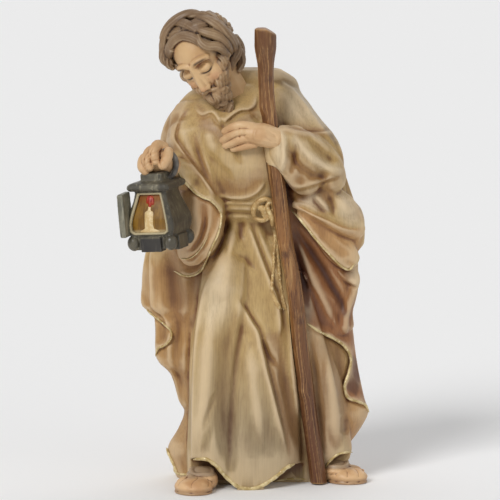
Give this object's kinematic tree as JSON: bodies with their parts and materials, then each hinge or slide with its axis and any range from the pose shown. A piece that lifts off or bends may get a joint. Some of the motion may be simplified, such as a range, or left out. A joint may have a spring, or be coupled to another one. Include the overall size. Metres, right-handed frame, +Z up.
{
  "type": "carved saint figurine",
  "caption": "Carved and painted wooden figurine of a robed, bearded saint leaning on a staff and holding out a lantern, flat underneath so that it stands.",
  "frame": {"origin": "centre of the whole figurine's box, on the surface it stands on", "axes": "+Z up, along the figure's height; -Y is the side that its chest faces; +X is the side of its staff"},
  "size_m": [0.104, 0.0744, 0.1992],
  "materials": {
    "maple": "pale wood with thin glazes of tan, brown and grey, fine gold hem lines, matt",
    "stained_wood": "dark red-brown stain rubbed through on the edges, matt",
    "painted_wood": "dark grey-green paint rubbed pale on the edges, with a yellow window and a cream candle"
  },
  "bodies": {
    "root": {"carved_figure": "maple", "staff": "stained_wood", "lantern": "painted_wood"}
  },
  "joints": []
}
